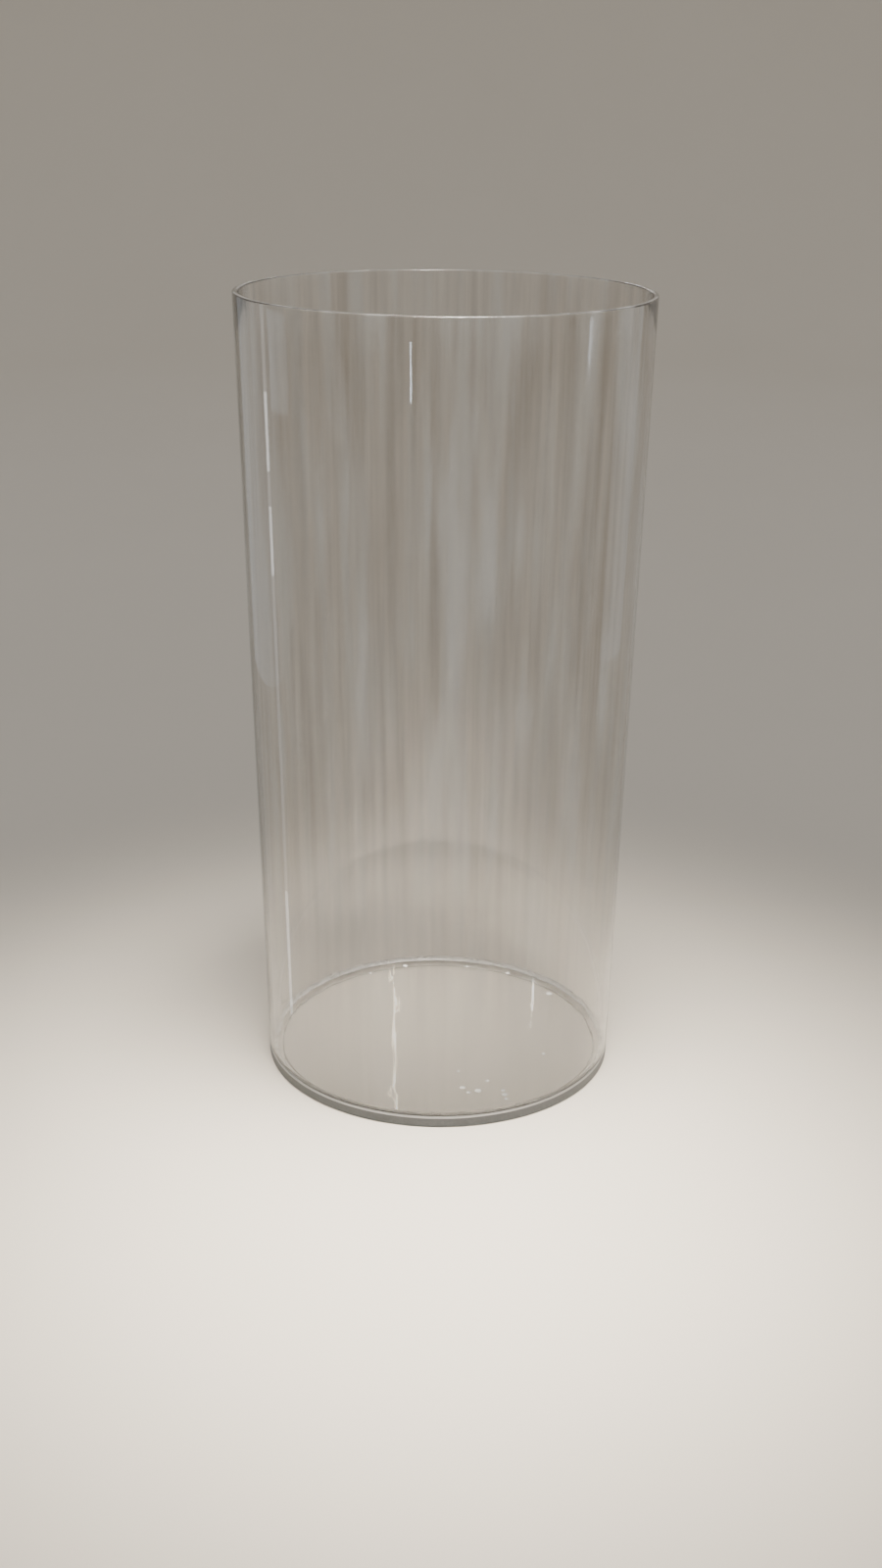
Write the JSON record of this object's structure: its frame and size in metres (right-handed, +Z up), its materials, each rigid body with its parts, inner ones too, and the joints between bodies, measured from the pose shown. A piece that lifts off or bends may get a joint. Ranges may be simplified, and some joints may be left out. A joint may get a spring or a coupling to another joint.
{
  "type": "cylinder vase",
  "caption": "Tall clear straight-sided cylinder vase with an open top, a thin wall and a flat disc floor bonded under it, for holding cut flowers, candles or floral foam.",
  "frame": {"origin": "centre of the underside of the base disc, on the surface the vase stands on", "axes": "+Z up along the tube's axis; X and Y lie in the table's plane and are equivalent"},
  "size_m": [0.15, 0.15, 0.3],
  "materials": {
    "tube_glass": "clear, polished, with faint vertical draw lines",
    "disc_glass": "clear faces with a ground grey edge",
    "cured_cement": "clear, slightly cloudy"
  },
  "bodies": {
    "root": {"wall_tube": "tube_glass", "base_disc": "disc_glass", "joint_cement": "cured_cement"}
  },
  "joints": []
}
